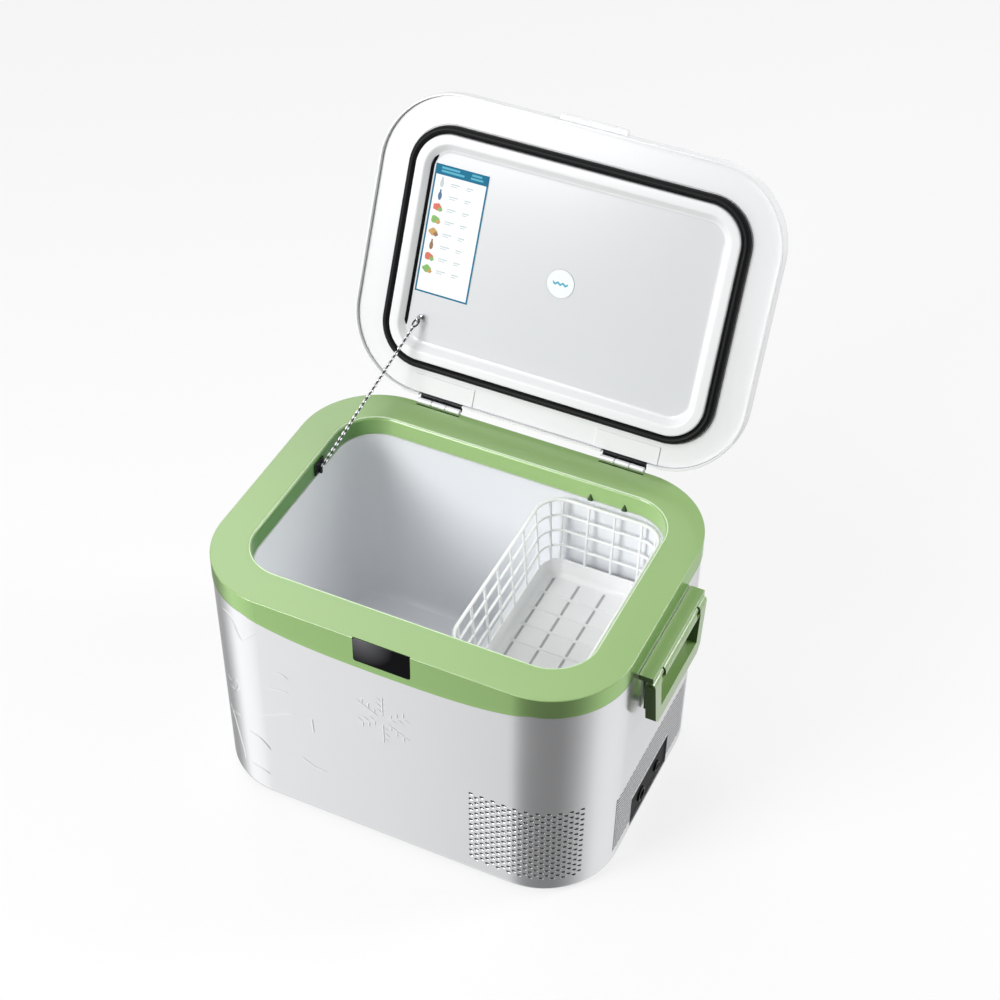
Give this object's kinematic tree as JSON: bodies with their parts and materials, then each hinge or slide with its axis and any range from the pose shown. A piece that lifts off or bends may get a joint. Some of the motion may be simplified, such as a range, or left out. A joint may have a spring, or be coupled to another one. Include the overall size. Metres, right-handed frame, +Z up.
{
  "type": "compressor cooler fridge",
  "caption": "Portable compressor cooler fridge: silver body, green collar with display, deep lined well, lift-out basket, hinged white lid on a chain stay and folding side handles.",
  "frame": {"origin": "centre of the base pan's flat underside, 4 mm above the floor that the feet stand on", "axes": "+X to the right, -Y out of the front with the display, +Z up; the lid stands open at rest"},
  "size_m": [0.5184, 0.5272, 0.6421],
  "materials": {
    "shell_silver": "pale silver grey, glossy",
    "collar_green": "soft green, satin",
    "lid_white": "white, glossy",
    "liner_white": "white, smooth",
    "basket_white": "white, satin",
    "seal_rubber": "black soft seal",
    "foot_rubber": "black matt",
    "hinge_steel": "polished",
    "stay_steel": "bright links",
    "black_plastic": "fine grain",
    "display_glass": "black, mirror smooth",
    "label_paper": "printed, satin",
    "copper_tube": "bare drawn copper",
    "aluminium": "mill finish",
    "compressor_black": "black enamel",
    "foam": "closed-cell foam",
    "circuit_board": "green board"
  },
  "bodies": {
    "cooler_body": {"outer_shell": "shell_silver", "front_corner_grille": "shell_silver", "rear_corner_grille": "shell_silver", "side_grille": "shell_silver", "base_pan": "black_plastic", "foot_front_left": "foot_rubber", "foot_front_right": "foot_rubber", "foot_rear_left": "foot_rubber", "foot_rear_right": "foot_rubber", "power_panel": "black_plastic", "dc_socket": "black_plastic", "fuse_cap": "black_plastic", "collar": "collar_green", "display_glass": "display_glass", "display_module": "black_plastic", "control_board": "circuit_board", "liner": "liner_white", "body_foam": "foam", "evaporator_plate": "aluminium", "bulkhead": "aluminium", "compressor": "compressor_black", "compressor_grommet_left": "foot_rubber", "compressor_grommet_front": "foot_rubber", "compressor_grommet_rear": "foot_rubber", "condenser": "aluminium", "fan_shroud": "black_plastic", "filter_drier": "copper_tube", "power_board": "aluminium", "discharge_tube": "copper_tube", "suction_tube": "copper_tube", "handle_bracket_right": "collar_green", "handle_pin_right": "stay_steel", "handle_bracket_left": "collar_green", "handle_pin_left": "stay_steel", "hinge_fixed_leaf_left": "hinge_steel", "hinge_pin_left": "hinge_steel", "hinge_fixed_leaf_right": "hinge_steel", "hinge_pin_right": "hinge_steel", "chain_clip": "black_plastic", "stay_chain": "stay_steel"},
    "lid": {"lid_cover": "lid_white", "lid_foam": "foam", "lid_panel": "lid_white", "lid_seal": "seal_rubber", "food_chart": "label_paper", "round_label": "label_paper", "lid_eyelet": "stay_steel", "hinge_lid_leaf_left": "hinge_steel", "hinge_lid_leaf_right": "hinge_steel", "hinge_pad_left": "lid_white", "hinge_pad_right": "lid_white"},
    "basket": {"basket": "basket_white"},
    "handle_right": {"handle_grip_right": "collar_green"},
    "handle_left": {"handle_grip_left": "collar_green"},
    "fan": {"fan_rotor": "black_plastic"}
  },
  "joints": [
    {"name": "lid_hinge", "type": "hinge", "parent": "cooler_body", "child": "lid", "pos_m": [0, 0.1805, 0.3126], "axis": [-1, 0, 0], "range_deg": [-113.5, 0], "deforming": ["stay_chain"]},
    {"name": "basket_lift", "type": "slide", "parent": "cooler_body", "child": "basket", "axis": [0, 0, 1], "range_m": [0, 0.15]},
    {"name": "handle_right_swing", "type": "hinge", "parent": "cooler_body", "child": "handle_right", "pos_m": [0.2532, 0, 0.2617], "axis": [0, -1, 0], "range_deg": [0, 90]},
    {"name": "handle_left_swing", "type": "hinge", "parent": "cooler_body", "child": "handle_left", "pos_m": [-0.2532, 0, 0.2617], "axis": [0, 1, 0], "range_deg": [0, 90]},
    {"name": "fan_spin", "type": "hinge", "parent": "cooler_body", "child": "fan", "pos_m": [0.193, 0.015, 0.092], "axis": [1, 0, 0], "continuous": true}
  ]
}
